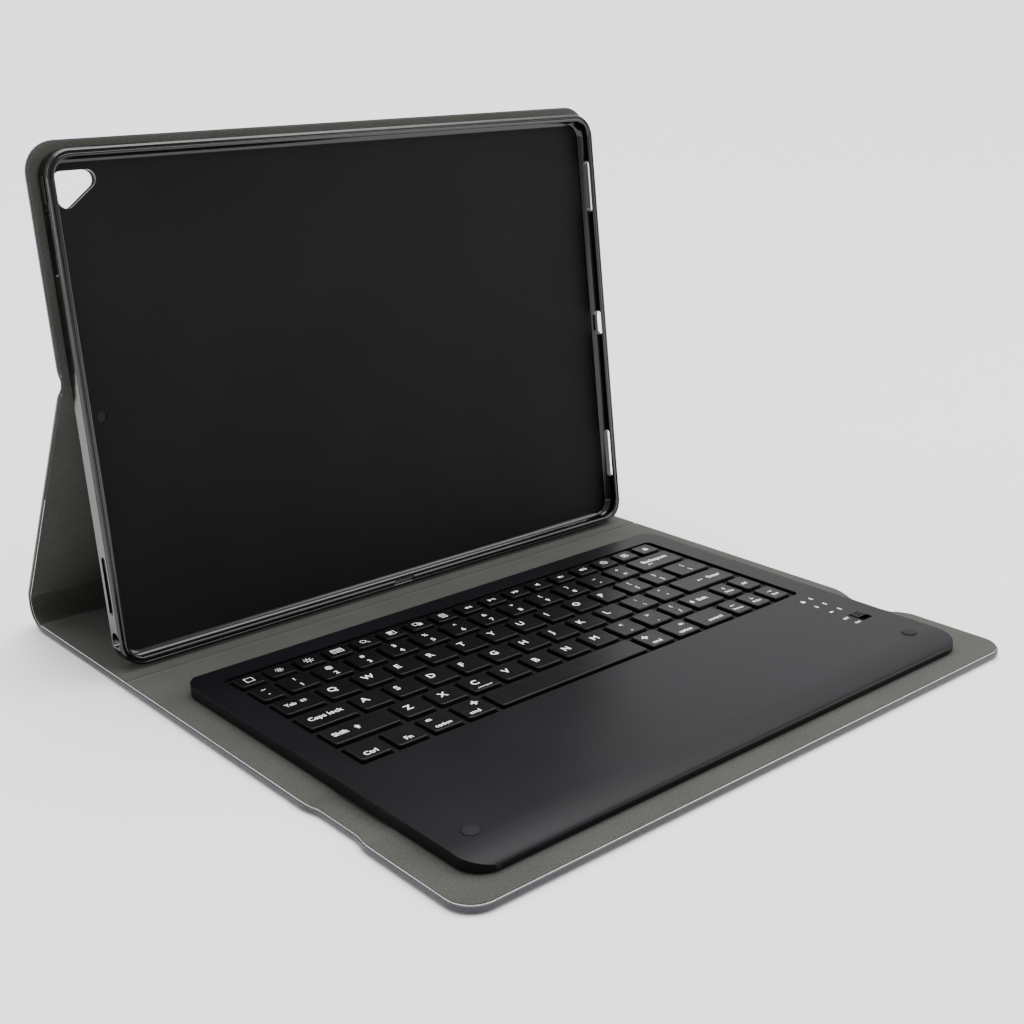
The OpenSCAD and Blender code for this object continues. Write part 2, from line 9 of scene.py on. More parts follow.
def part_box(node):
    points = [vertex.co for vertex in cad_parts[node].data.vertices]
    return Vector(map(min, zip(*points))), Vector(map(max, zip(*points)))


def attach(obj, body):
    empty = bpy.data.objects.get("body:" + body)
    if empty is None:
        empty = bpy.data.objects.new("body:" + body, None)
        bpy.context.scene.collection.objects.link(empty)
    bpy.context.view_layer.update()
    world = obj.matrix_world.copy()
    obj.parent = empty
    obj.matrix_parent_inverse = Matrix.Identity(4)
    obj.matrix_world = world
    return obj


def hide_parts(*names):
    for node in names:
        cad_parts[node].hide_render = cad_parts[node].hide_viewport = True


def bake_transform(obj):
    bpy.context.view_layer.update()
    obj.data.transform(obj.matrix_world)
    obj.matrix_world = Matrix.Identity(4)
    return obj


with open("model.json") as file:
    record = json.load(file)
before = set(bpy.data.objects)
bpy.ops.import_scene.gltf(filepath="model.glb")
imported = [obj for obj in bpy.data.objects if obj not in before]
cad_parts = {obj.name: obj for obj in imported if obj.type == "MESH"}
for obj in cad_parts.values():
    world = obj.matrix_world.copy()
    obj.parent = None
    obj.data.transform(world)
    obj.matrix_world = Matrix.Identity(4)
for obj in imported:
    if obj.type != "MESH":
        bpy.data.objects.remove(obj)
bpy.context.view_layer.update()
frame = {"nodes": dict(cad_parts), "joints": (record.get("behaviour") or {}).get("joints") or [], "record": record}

# ---- Outer cover -------------------------------------------------------------------------------
# One length of PU leather, an embossed polyurethane skin on a knitted back, glued round stiff boards
# and turned up at their edges. It is laid out flat and then bent along the cover's side view.
MM = 0.001
joint_at = {j["name"]: Vector(j["pos_m"]) / MM for j in frame["joints"] if "pos_m" in j}
front_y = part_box("flap_outer_cover")[0].y / MM
cover_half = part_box("flap_outer_cover")[1].x / MM
base_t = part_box("flap_lining")[1].z / MM
half_t = base_t / 2
lining_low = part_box("base_lining")[0].z / MM - half_t


def from_front(y):
    """Distance behind the cover's front edge."""
    return y - front_y


def side(name):
    """A fold's place in the side view: distance behind the front edge, and height."""
    return Vector((from_front(joint_at[name].y), joint_at[name].z))


def in_frame(x, y, z):
    """A point given in millimetres from the cover's front edge."""
    return Vector((x, y + front_y, z)) * MM


fold_low, fold_high = side("spine_fold"), side("stand_fold")
crease, gusset_fold, flap_fold = side("crease_fold"), side("gusset_fold").x, side("flap_fold").x
chord = fold_high - fold_low
spine_turn = 2 * math.atan2(chord.y, chord.x)
spine_r = chord.length / (2 * math.sin(spine_turn / 2))
tray_lean = math.radians(6.8)
tray_high = 225.9
border = 4.2            # cover beyond the tray's top edge
crease_v = 128          # height up the tray at which the cover leaves it
crease_r = 6
panel_turn = math.pi / 2 - tray_lean
crease_trim = crease_r * math.tan((spine_turn - panel_turn) / 2)
spine_s = fold_low.x
stand_s = spine_s + spine_r * spine_turn
crease_s = stand_s + (crease - fold_high).length - crease_trim
upper_s = crease_s + crease_r * (spine_turn - panel_turn)
top_s = upper_s - crease_trim + tray_high + border - crease_v


def cover_line(s):
    """The middle of the cover's thickness at s along it: place in the side view, and slope."""
    at, turn = fold_low.copy(), 0.0
    if s <= spine_s:
        return Vector((s, half_t)), 0.0
    if s <= stand_s:
        turn = (s - spine_s) / spine_r
        return at + spine_r * Vector((math.sin(turn), 1 - math.cos(turn))), turn
    along = Vector((math.cos(spine_turn), math.sin(spine_turn)))
    if s <= crease_s:
        return fold_high + (s - stand_s) * along, spine_turn
    bend = min(s - crease_s, upper_s - crease_s) / crease_r
    middle = fold_high + (crease_s - stand_s) * along + crease_r * Vector((along.y, -along.x))
    turn = spine_turn - bend
    at = middle + crease_r * Vector((-math.sin(turn), math.cos(turn)))
    if s > upper_s:
        at += (s - upper_s) * Vector((math.cos(turn), math.sin(turn)))
    return at, turn


def ease(x, low, high):
    """0 below low, 1 above high, smooth between."""
    t = min(max((x - low) / (high - low), 0), 1)
    return t * t * (3 - 2 * t)


def between(x, low, high, run):
    """1 between low and high, easing off over run on both sides."""
    return ease(x, low - run, low) * (1 - ease(x, high, high + run))


def mix(a, b, t):
    return a + (b - a) * t


def cover_faces(s):
    """How far the cover's outer and inner faces lie from its middle line at s along it."""
    soft = between(s, 62, 92, 5)
    spine = between(s, spine_s + 2, stand_s - 2, 6)
    bend = between(s, crease_s, upper_s, 5)
    stand = ease(s, stand_s - 4, stand_s + 4)
    upper = ease(s, upper_s, upper_s + 6)
    low, high = mix(-half_t, -1.5, stand), mix(half_t, 1.5, stand)
    low, high = mix(low, -1.2, upper), mix(high, 1.8, upper)
    low, high = mix(low, -1.6, soft), mix(high, 1.15, soft)
    low, high = mix(low, -1.35, spine), mix(high, 0.75, spine)
    return mix(low, -1.0, bend), mix(high, 1.0, bend)


def bend_to_cover(bm):
    """Moves a flat mesh, with x across, y along the cover and z through it, onto the cover's line."""
    for v in bm.verts:
        x, s, n = v.co
        at, turn = cover_line(s)
        low, high = cover_faces(s)
        off = low + (n + half_t) / base_t * (high - low)
        v.co = in_frame(x, at.x - off * math.sin(turn), at.y + off * math.cos(turn))


def inset_outline(outline):
    """A function that gives a closed anticlockwise outline, moved in by a distance at every point."""
    p = np.array(outline)
    edge = np.roll(p, -1, 0) - p
    edge /= np.linalg.norm(edge, axis=1)[:, None]
    n = np.stack([edge[:, 1], -edge[:, 0]], 1)
    n = n + np.roll(n, 1, 0)
    n *= (2 / (n * n).sum(1))[:, None]
    return lambda inset: p - inset * n


def stacked(outline, rings, bm=None):
    """A closed shell: the outline at each ring's inset and height, with flat faces at both ends.
    A ring may give a third value, the material of the band above it."""
    bm = bm or bmesh.new()
    loops = [[bm.verts.new((x, y, height)) for x, y in outline(inset)] for inset, height, *_ in rings]
    bm.faces.new(loops[0][::-1])
    bm.faces.new(loops[-1])
    for ring, low, high in zip(rings, loops, loops[1:]):
        for i, j in zip(range(len(low)), [*range(1, len(low)), 0]):
            face = bm.faces.new((low[i], low[j], high[j], high[i]))
            face.material_index = ring[2] if len(ring) > 2 else 0
    return bm


def arc(x, y, r, start, end, steps=10):
    """Points on a circle, with its angles in degrees."""
    turns = [math.radians(start + (end - start) * i / steps) for i in range(steps + 1)]
    return [(x + r * math.cos(t), y + r * math.sin(t)) for t in turns]


def cover_edge(s, left):
    """Half width at s along the cover: the soft folds draw in, more at the right of the front one."""
    waist = 1.9 * between(s, 66, 88, 10) if left else 3.9 * between(s, 62, 82, 11)
    spine = 0.7 * between(s, spine_s + 4, stand_s - 4, 6)
    return cover_half - waist - spine - 0.9 * between(s, crease_s, upper_s, 5)


def cover_outline():
    """The whole cover laid out flat, anticlockwise from the front left corner."""
    front_r, top_r = 12, 14
    soft = [*range(48, 104, 3), *np.arange(spine_s - 6, stand_s + 8, 2.5)]
    sides = soft + list(np.arange(crease_s - 8, upper_s + 9, 2))
    w = cover_half
    points = arc(-w + front_r, front_r, front_r, 180, 270) + arc(w - front_r, front_r, front_r, 270, 360)
    points += [(cover_edge(s, False), s) for s in sides]
    points += arc(w - top_r, top_s - top_r, top_r, 0, 90) + arc(-w + top_r, top_s - top_r, top_r, 90, 180)
    return points + [(-cover_edge(s, True), s) for s in reversed(sides)]


half_base = 238         # where the base's two parts meet, under the tray's foot
mid_low = spine_s + spine_r * spine_turn / 4
mid_high = stand_s - spine_r * spine_turn / 4
mid_stand = (stand_s + crease_s) / 2
tight, wide = 1.2, 2.5
bend_rows = [*np.arange(50, 104, wide), *np.arange(spine_s - 8, stand_s + 9, tight),
             *np.arange(crease_s - 8, upper_s + 9, tight)]
# Part of the cover: where it starts and ends along it, and the two bodies on either side of the fold that it
# crosses
gusset_mid = (gusset_fold + flap_fold) / 2
cover_parts = {
    "flap": (0, gusset_mid, "gusset", "closure_flap", flap_fold + 7, flap_fold - 1),
    "base_front": (gusset_mid, half_base, "base", "gusset", gusset_fold + 1.5, gusset_fold - 7),
    "base_rear": (half_base, mid_low, "base", "spine_lower", spine_s - 2.5, mid_low),
    "spine": (mid_low, mid_high, "spine_lower", "spine_upper", mid_low, mid_high),
    "stand": (mid_high, mid_stand, "spine_upper", "stand", mid_high, stand_s + 2.9),
    "upper": (mid_stand, top_s, "stand", "tray", crease_s - 1.5, upper_s + 1.5),
}


def cut_across(bm, s, clear=None):
    """Cuts a flat mesh across at s; clear says which side goes, and the cut is closed again."""
    geom = bm.verts[:] + bm.edges[:] + bm.faces[:]
    bmesh.ops.bisect_plane(bm, geom=geom, plane_co=(0, s, 0), plane_no=(0, 1, 0), dist=1e-6,
                           clear_inner=clear == "below", clear_outer=clear == "above")
    if clear:
        rim = [e for e in bm.edges if e.is_boundary]
        bmesh.ops.edgeloop_fill(bm, edges=rim)


def finished(name, bm, materials, smooth=35):
    """A mesh object from a bmesh, shaded smooth up to an angle in degrees."""
    mesh = bpy.data.meshes.new(name)
    bm.to_mesh(mesh)
    bm.free()
    for m in materials:
        mesh.materials.append(m)
    obj = bpy.data.objects.new(name, mesh)
    bpy.context.scene.collection.objects.link(obj)
    mesh.shade_smooth()
    mesh.set_sharp_from_angle(angle=math.radians(smooth))
    return obj


def to_metres(bm):
    for v in bm.verts:
        v.co *= MM


def cover_part(whole, part, across=()):
    """Cuts one part out of a sheet as long as the cover; gives it and what it bends between."""
    low, high, body_a, body_b, start, end = cover_parts[part]
    bm = whole.copy()
    if low > 0:
        cut_across(bm, low, "below")
    if high < top_s:
        cut_across(bm, high, "above")
    for s in bend_rows:
        if low + 0.2 < s < high - 0.2:
            cut_across(bm, s)
    for x in across:
        geom = bm.verts[:] + bm.edges[:] + bm.faces[:]
        bmesh.ops.bisect_plane(bm, geom=geom, plane_co=(x, 0, 0), plane_no=(1, 0, 0), dist=1e-6)
    return bm, (body_a, body_b, start, end)


def blend_cover(obj, bodies):
    """Bakes a part of the cover's placement into its mesh; its two bodies and the span between them are read but
    bend nothing.
    """
    body_a, body_b, start, end = bodies
    a, b = cover_line(start)[0], cover_line(end)[0]
    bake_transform(obj)


def colour(code):
    """An sRGB hex colour as linear red, green, blue and alpha."""
    parts = [int(code[i:i + 2], 16) / 255 for i in (1, 3, 5)]
    return tuple(c / 12.92 if c <= 0.04045 else ((c + 0.055) / 1.055) ** 2.4 for c in parts) + (1,)


def add(tree, kind, inputs=None, **settings):
    """Adds a node to a tree, with its settings, its values and its links."""
    made = tree.nodes.new(kind)
    for key, value in settings.items():
        setattr(made, key, value)
    for key, value in (inputs or {}).items():
        if isinstance(value, bpy.types.NodeSocket):
            tree.links.new(value, made.inputs[key])
        else:
            made.inputs[key].default_value = value
    return made


def material(name, **shader):
    """An empty material with its shader's own values set; spaces in their names are underscores."""
    made = bpy.data.materials.new(name)
    made.use_nodes = True
    tree = made.node_tree
    tree.nodes.clear()
    bsdf = add(tree, "ShaderNodeBsdfPrincipled", {k.replace("_", " "): v for k, v in shader.items()})
    add(tree, "ShaderNodeOutputMaterial", {"Surface": bsdf.outputs[0]})
    place = add(tree, "ShaderNodeTexCoord").outputs["Object"]
    return made, tree, bsdf, place


def ramp(tree, factor, low, high, dark, light):
    """Colours from dark to light as factor goes from low to high."""
    made = add(tree, "ShaderNodeValToRGB", {"Fac": factor})
    made.color_ramp.elements[0].position = low
    made.color_ramp.elements[0].color = colour(dark)
    made.color_ramp.elements[1].position = high
    made.color_ramp.elements[1].color = colour(light)
    return made.outputs["Color"]


# PU leather: rolled with a pebble grain, so each pebble is a soft bump about 0.9 mm across, and the skin has a
# satin shine.
# The valleys round the pebbles are painted darker as painted shade, and the tone also drifts at random over some
# 35 mm.
leather, tree, bsdf, place = material("PU_leather", Roughness=0.45, Sheen_Weight=0.08,
                                      Sheen_Roughness=0.4, Specular_IOR_Level=0.3)
pebbles = add(tree, "ShaderNodeTexVoronoi", {"Vector": place, "Scale": 1 / (0.9 * MM)},
              feature="SMOOTH_F1")
drift = add(tree, "ShaderNodeTexNoise", {"Vector": place, "Scale": 1 / (35 * MM), "Detail": 3.0})
# Painted shade: the colour darkens into the valleys between the pebbles, mixed with a random drift in tone
valley_shade_and_drift = add(tree, "ShaderNodeMath", {0: pebbles.outputs["Distance"], 1: drift.outputs["Fac"]},
           operation="MULTIPLY")
tree.links.new(ramp(tree, valley_shade_and_drift.outputs[0], 0.1, 0.5, "#3a393f", "#2d2c31"), bsdf.inputs["Base Color"])
bump = add(tree, "ShaderNodeBump", {"Strength": 0.35, "Distance": 0.15 * MM,
                                    "Height": pebbles.outputs["Distance"]}, invert=True)
tree.links.new(bump.outputs[0], bsdf.inputs["Normal"])

# The sheet's section: flat outside, round at the board's edge, turned up to the lining and back
leather_t, wrap = 0.9, 1.0
leather_rings = [(1.3, -half_t), (0.75, -half_t + 0.1), (0.3, -half_t + 0.45), (0, -half_t + 1),
                 (0, lining_low - 0.45), (0.12, lining_low - 0.15), (0.4, lining_low),
                 (wrap, lining_low), (wrap, -half_t + leather_t)]
whole_leather = stacked(inset_outline(cover_outline()), leather_rings)
leather_stands_for = {
    "flap": ["flap_outer_cover"], "base_front": ["gusset_cover"], "base_rear": ["base_outer_cover"],
    "spine": ["spine_lower_cover"], "stand": ["spine_upper_cover"],
    "upper": ["stand_outer_cover", "upper_outer_cover"],
}
# The camera's window goes through the upper panel, as it does through the tray
tray_up = Vector((0, math.sin(tray_lean), math.cos(tray_lean)))
tray_out = Vector((0, -math.cos(tray_lean), math.sin(tray_lean)))
tray_foot = in_frame(0, 254.4, base_t + 0.45)


def on_tray(u, v, w):
    """A point in millimetres across and up the tray, and out from its back."""
    return tray_foot + (Vector((u, 0, 0)) + tray_up * v + tray_out * w) * MM


def moved_to_tray(bm):
    for v in bm.verts:
        v.co = on_tray(*v.co)
    return bm


def hull_outline(circles, r):
    """The outline round circles of one radius, given anticlockwise."""
    points = []
    for i, c in enumerate(circles):
        before, after = Vector(circles[i - 1]), Vector(circles[(i + 1) % len(circles)])
        a, b = Vector(c) - before, after - Vector(c)
        start = math.degrees(math.atan2(a.y, a.x)) - 90
        turn = (math.degrees(math.atan2(b.y, b.x)) - 90 - start) % 360
        points += arc(c[0], c[1], r, start, start + turn, 9)
    return points


# Centres of the camera window's three round corners, anticlockwise
camera_corners = [(-134.2, 213.15), (-145.6, 213.15), (-144.6, 205.55)]
camera_r = 4


def settled(obj):
    """Applies a piece's modifiers, so that it is plain mesh, with flat faces shaded flat."""
    weigh = obj.modifiers.new("flat_faces", "WEIGHTED_NORMAL")
    weigh.keep_sharp = True
    result = bpy.data.meshes.new_from_object(obj.evaluated_get(bpy.context.evaluated_depsgraph_get()))
    obj.modifiers.clear()
    obj.data = result
    return obj


def cutter(name, bm):
    """A shape to be cut out of a piece; it is removed once it has been used."""
    return finished(name, bm, [])


def cut_out(obj, shape):
    """Cuts a shape out of a piece and keeps the result as plain mesh."""
    boolean = obj.modifiers.new("window", "BOOLEAN")
    boolean.object, boolean.operation, boolean.solver = shape, "DIFFERENCE", "EXACT"
    result = bpy.data.meshes.new_from_object(obj.evaluated_get(bpy.context.evaluated_depsgraph_get()))
    obj.modifiers.remove(boolean)
    obj.data = result
    result.set_sharp_from_angle(angle=math.radians(35))


def remove(obj):
    """Deletes a shape that was only a tool."""
    mesh = obj.data
    bpy.data.objects.remove(obj)
    bpy.data.meshes.remove(mesh)


camera_hole = cutter("camera_hole", moved_to_tray(
    stacked(inset_outline(hull_outline(camera_corners, camera_r)), [(0, -12), (0, 14)])))
for part, (low, high, *_rest) in cover_parts.items():
    bm, bodies = cover_part(whole_leather, part)
    bend_to_cover(bm)
    piece = finished("leather_" + part, bm, [leather])
    if part == "upper":
        cut_out(piece, camera_hole)
    blend_cover(piece, bodies)
    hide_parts(*leather_stands_for[part])

# ---- Lining ------------------------------------------------------------------------------------
# Brushed microfibre on a white paper back, die cut a little smaller than the cover and glued over
# the turned-up leather, so that its raw white edge shows all round.
lining, tree, bsdf, place = material("brushed_microfibre", Roughness=0.92, Sheen_Weight=0.2,
                                     Sheen_Roughness=0.45, Specular_IOR_Level=0.1)
# Fibres lie in tufts about 0.6 mm across, and the nap leans in patches some 30 mm wide
tufts = add(tree, "ShaderNodeTexNoise", {"Vector": place, "Scale": 1 / (0.6 * MM), "Detail": 4.0,
                                         "Roughness": 0.65})
nap = add(tree, "ShaderNodeTexNoise", {"Vector": place, "Scale": 1 / (30 * MM), "Detail": 2.0})
speckle = ramp(tree, tufts.outputs["Fac"], 0.34, 0.68, "#1f1f1c", "#545450")
shade = ramp(tree, nap.outputs["Fac"], 0.3, 0.7, "#383834", "#43433e")
blended = add(tree, "ShaderNodeMix", {"Factor": 0.55, 6: speckle, 7: shade}, data_type="RGBA")
tree.links.new(blended.outputs[2], bsdf.inputs["Base Color"])
bump = add(tree, "ShaderNodeBump", {"Strength": 0.5, "Distance": 0.12 * MM,
                                    "Height": tufts.outputs["Fac"]})
tree.links.new(bump.outputs[0], bsdf.inputs["Normal"])

# Paper back: bright, rough and slightly furred where it was cut
paper, tree, bsdf, place = material("white_paper_back", Roughness=0.8)
fur = add(tree, "ShaderNodeTexNoise", {"Vector": place, "Scale": 1 / (1.5 * MM), "Detail": 3.0})
tree.links.new(ramp(tree, fur.outputs["Fac"], 0.3, 0.7, "#e4e3de", "#f8f7f4"), bsdf.inputs["Base Color"])

lining_in, white_t = 0.7, 0.42
lining_rings = [(lining_in + 0.1, lining_low), (lining_in, lining_low + 0.02, 1),
                (lining_in, lining_low + white_t), (lining_in + 0.05, half_t - 0.12),
                (lining_in + 0.2, half_t)]
whole_lining = stacked(inset_outline(cover_outline()), lining_rings)
across_soft = [s * x for s in (-1, 1) for x in range(128, 160, 3)]


def crumple(x, s):
    """How far the lining sinks in the soft fold: a shallow trough, and creases fanning from its ends."""
    trough = 0.35 * math.sin(math.pi * min(max((s - 60.5) / 33, 0), 1)) ** 2
    reach = ease(abs(x), 122, 156)
    fan = math.sin((s - 60.5) * 0.52 + 0.05 * abs(x)) * between(s, 66, 88, 9)
    return -trough - 0.28 * reach * fan * fan


def embossed(s):
    """The pressed line across the lining, in front of the tray's foot."""
    return -0.35 * math.exp(-((s - half_base) / 0.8) ** 2)


lining_stands_for = {
    "flap": ["flap_lining"], "base_front": ["gusset_lining"], "base_rear": ["base_lining"],
    "spine": ["spine_lower_lining"], "stand": ["spine_upper_lining"],
    "upper": ["stand_lining", "upper_lining"],
}
emboss_rows = [half_base + d for d in (-3, -1.6, -0.8, -0.4, 0, 0.4, 0.8, 1.6, 3)]
bend_rows += emboss_rows
for part, (low, high, *_rest) in cover_parts.items():
    columns = across_soft if part in ("flap", "base_front") else ()
    bm, bodies = cover_part(whole_lining, part, columns)
    for v in bm.verts:
        if v.co.z > lining_low + white_t + 0.01 and v.co.y < 260:
            v.co.z += crumple(v.co.x, v.co.y) + embossed(v.co.y)
    bend_to_cover(bm)
    # The paper's edge shows all round, but not on the upper panel, where the nap laps over it
    piece = finished("lining_" + part, bm, [lining, lining if part == "upper" else paper])
    if part == "upper":
        cut_out(piece, camera_hole)
    blend_cover(piece, bodies)
    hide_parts(*lining_stands_for[part])
whole_leather.free()
whole_lining.free()

# ---- Tray --------------------------------------------------------------------------------------
# One soft TPU moulding: a thin matt back with a glossy ridged rim that snaps over the tablet's edge.
# It is glued to the upper panel, and its lower half hangs free behind.
tray_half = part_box("tray_shell")[1].x / MM
tray_r = 12
glossy_tpu, tree, bsdf, place = material("polished_TPU", Roughness=0.15, IOR=1.5, Specular_IOR_Level=0.5)
flow = add(tree, "ShaderNodeTexNoise", {"Vector": place, "Scale": 1 / (14 * MM), "Detail": 2.0})
tree.links.new(ramp(tree, flow.outputs["Fac"], 0.3, 0.7, "#060607", "#0b0b0c"), bsdf.inputs["Base Color"])
wave = add(tree, "ShaderNodeBump", {"Strength": 0.05, "Distance": 0.3 * MM, "Height": flow.outputs["Fac"]})
tree.links.new(wave.outputs[0], bsdf.inputs["Normal"])
matt_tpu, tree, bsdf, place = material("spark_textured_TPU", Roughness=0.62, IOR=1.5, Specular_IOR_Level=0.1)
grain = add(tree, "ShaderNodeTexNoise", {"Vector": place, "Scale": 1 / (0.5 * MM), "Detail": 3.0})
cloud = add(tree, "ShaderNodeTexNoise", {"Vector": place, "Scale": 1 / (60 * MM), "Detail": 2.0})
tree.links.new(ramp(tree, cloud.outputs["Fac"], 0.3, 0.7, "#0f0f10", "#131314"), bsdf.inputs["Base Color"])
bump = add(tree, "ShaderNodeBump", {"Strength": 0.3, "Distance": 0.05 * MM, "Height": grain.outputs["Fac"]})
tree.links.new(bump.outputs[0], bsdf.inputs["Normal"])


def round_corners(x0, y0, x1, y1, r, steps=8):
    """A function that gives a rectangle with round corners, anticlockwise, moved in by a distance."""
    def outline(inset):
        turn = max(r - inset, 0.02)
        left, right, low, high = (x0 + inset + turn, x1 - inset - turn,
                                  y0 + inset + turn, y1 - inset - turn)
        quarters = ((right, low, 270), (right, high, 0), (left, high, 90), (left, low, 180))
        return [p for x, y, start in quarters for p in arc(x, y, turn, start, start + 90, steps)]
    return outline


matt, gloss = 1, 0
tray_rings = [
    (1.2, 0, gloss), (0.4, 0.12), (0, 0.6), (0, 7.5), (0.1, 7.7), (0.32, 7.85), (0.36, 8.1), (0.5, 8.7),
    (0.8, 9.05), (1.2, 9.05), (1.45, 8.85), (1.62, 8.55), (1.9, 8.55), (2.05, 8.9), (2.35, 9.2),
    (2.8, 9.3), (3.3, 9.22), (3.65, 8.95), (3.8, 8.6), (3.7, 8.3), (3.4, 8.2), (2.5, 8.2),
    (2.25, 8.0), (2.2, 7.7), (2.2, 5.0), (2.35, 4.0), (2.8, 2.9), (3.6, 1.9), (4.6, 1.35), (5.6, 1.2)]
bm = stacked(round_corners(-tray_half, 0, tray_half, tray_high, tray_r, 12), tray_rings)
for face in bm.faces:
    if len(face.verts) > 4:
        face.material_index = matt
tray = finished("tray_moulding", moved_to_tray(bm), [glossy_tpu, matt_tpu], 32)

mid_wall = 4.65
windows = bmesh.new()


def through_wall(x0, x1, v, length, depth, r):
    """A round-ended window through a side wall, from x0 to x1, centred at height v."""
    made = stacked(round_corners(-length / 2, -depth / 2, length / 2, depth / 2, r, 6), [(0, x0), (0, x1)])
    for p in made.verts:
        along, out, x = p.co
        p.co = on_tray(x, v + along, mid_wall + out)
    mesh = bpy.data.meshes.new("window")
    made.to_mesh(mesh)
    windows.from_mesh(mesh)
    made.free()
    bpy.data.meshes.remove(mesh)


# Four sound slots, the charging window at the right and the headphone window at the left
right_wall, left_wall = (151, 158), (-158, -151)
slot_off = 74.5
for wall in (left_wall, right_wall):
    for up in (-1, 1):
        through_wall(*wall, tray_high / 2 + up * slot_off, 27, 3.6, 1.79)
through_wall(*right_wall, tray_high / 2, 13, 6, 2.9)
through_wall(*left_wall, 13.5, 7, 6.4, 3.1)
window_cut = cutter("tray_windows", windows)
cut_out(tray, window_cut)
remove(window_cut)
# The microphone's hole, a notch in the foot, and the gaps round the two pads
more = stacked(inset_outline(arc(-144, 112.27, 2.25, 0, 345, 23)), [(0, -3), (0, 3)])
stacked(round_corners(-6, 2.0, 6, 6, 0.3, 2), [(0, 7.7), (0, 12)], more)
pad_gap, pad_low, pad_high = 0.3, 2.65, 6.65
vol_u, vol_w, pow_v, pow_w = -118.5, 26, 209.9, 11
pad_rings = [(0, pad_low - pad_gap), (0, pad_high + pad_gap)]
vol_half, pow_half = vol_w / 2 + pad_gap, pow_w / 2 + pad_gap
stacked(round_corners(vol_u - vol_half, 222, vol_u + vol_half, 228, 0.3, 2), pad_rings, more)
stacked(round_corners(-158, pow_v - pow_half, -151, pow_v + pow_half, 0.3, 2), pad_rings, more)
more_cut = cutter("tray_cuts", moved_to_tray(more))
cut_out(tray, more_cut)
cut_out(tray, camera_hole)
remove(more_cut)
remove(camera_hole)
settled(tray)
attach(tray, "tray")
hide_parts("tray_shell")

# ---- Keyboard housing --------------------------------------------------------------------------
# Two ABS mouldings screwed together: the top case, with the key well and its round front slope, and
# a flat bottom cover. The top case's outer edges are rounder than those of its key holes.
abs_case, tree, bsdf, place = material("spark_textured_ABS", Roughness=0.36, IOR=1.53,
                                       Specular_IOR_Level=0.12)
# Mould texture: pits about 0.35 mm across, drawn just coarse enough to show
pits = add(tree, "ShaderNodeTexNoise", {"Vector": place, "Scale": 1 / (0.35 * MM), "Detail": 3.0})
wipe = add(tree, "ShaderNodeTexNoise", {"Vector": place, "Scale": 1 / (50 * MM), "Detail": 3.0})
tree.links.new(ramp(tree, wipe.outputs["Fac"], 0.3, 0.7, "#0b0b0e", "#101014"), bsdf.inputs["Base Color"])
rough = add(tree, "ShaderNodeMapRange", {"Value": wipe.outputs["Fac"], "To Min": 0.34, "To Max": 0.4})
tree.links.new(rough.outputs[0], bsdf.inputs["Roughness"])
bump = add(tree, "ShaderNodeBump", {"Strength": 0.25, "Distance": 0.04 * MM, "Height": pits.outputs["Fac"]})
tree.links.new(bump.outputs[0], bsdf.inputs["Normal"])


def merged(node):
    """A CAD node's mesh as a bmesh in millimetres, with its doubles merged."""
    bm = bmesh.new()
    bm.from_mesh(frame["nodes"][node].data)
    bmesh.ops.scale(bm, vec=(1 / MM,) * 3, verts=bm.verts)
    bmesh.ops.remove_doubles(bm, verts=bm.verts, dist=0.001)
    return bm


bm = merged("keyboard_top_case")
bmesh.ops.dissolve_limit(bm, angle_limit=math.radians(0.5), verts=bm.verts, edges=bm.edges)
low, high = (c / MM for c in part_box("keyboard_top_case"))
weight = bm.edges.layers.float.new("bevel_weight_edge")
for edge in bm.edges:
    if len(edge.link_faces) == 2 and edge.calc_face_angle(0) > math.radians(38):
        mid = (edge.verts[0].co + edge.verts[1].co) / 2
        outer = min(mid.x - low.x, high.x - mid.x, high.y - mid.y) < 0.2 or mid.y - low.y < 0.2
        corner = (abs(mid.x - (low.x + high.x) / 2) > 125) and (mid.y - low.y < 14 or high.y - mid.y < 14)
        edge[weight] = 1.0 if (outer or corner) and mid.z > low.z + 1 else 0.3
to_metres(bm)
case = finished("keyboard_top_moulding", bm, [abs_case], 30)
bevel = case.modifiers.new("edges", "BEVEL")
bevel.limit_method, bevel.width, bevel.segments = "WEIGHT", 0.8 * MM, 3
settled(case)
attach(case, "keyboard")
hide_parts("keyboard_top_case")

# ---- Keys --------------------------------------------------------------------------------------
# Hollow ABS caps on rubber domes: upright sides, a fine round edge and a faintly dished top.
abs_key, tree, bsdf, place = material("fine_textured_ABS_caps", Roughness=0.33, IOR=1.53,
                                      Specular_IOR_Level=0.15)
pits = add(tree, "ShaderNodeTexNoise", {"Vector": place, "Scale": 1 / (0.3 * MM), "Detail": 2.0})
worn = add(tree, "ShaderNodeTexNoise", {"Vector": place, "Scale": 1 / (9 * MM), "Detail": 2.0})
tree.links.new(ramp(tree, worn.outputs["Fac"], 0.3, 0.7, "#090909", "#0c0c0d"), bsdf.inputs["Base Color"])
rough = add(tree, "ShaderNodeMapRange", {"Value": worn.outputs["Fac"], "To Min": 0.3, "To Max": 0.37})
tree.links.new(rough.outputs[0], bsdf.inputs["Roughness"])
bump = add(tree, "ShaderNodeBump", {"Strength": 0.2, "Distance": 0.03 * MM, "Height": pits.outputs["Fac"]})
tree.links.new(bump.outputs[0], bsdf.inputs["Normal"])

# Legends: white ink, printed a few hundredths thick
ink, tree, bsdf, place = material("white_pad_printing_ink", Roughness=0.5)
thin = add(tree, "ShaderNodeTexNoise", {"Vector": place, "Scale": 1 / (0.6 * MM), "Detail": 2.0})
tree.links.new(ramp(tree, thin.outputs["Fac"], 0.25, 0.7, "#d9d9dc", "#f4f4f6"), bsdf.inputs["Base Color"])

key_nodes = {n: body for body, nodes in frame["record"]["behaviour"]["bodies"].items() for n in nodes
             if n.startswith("key_") or n.startswith("keys_")}
for hidden in ("key_support_plate", "key_domes"):
    key_nodes.pop(hidden, None)


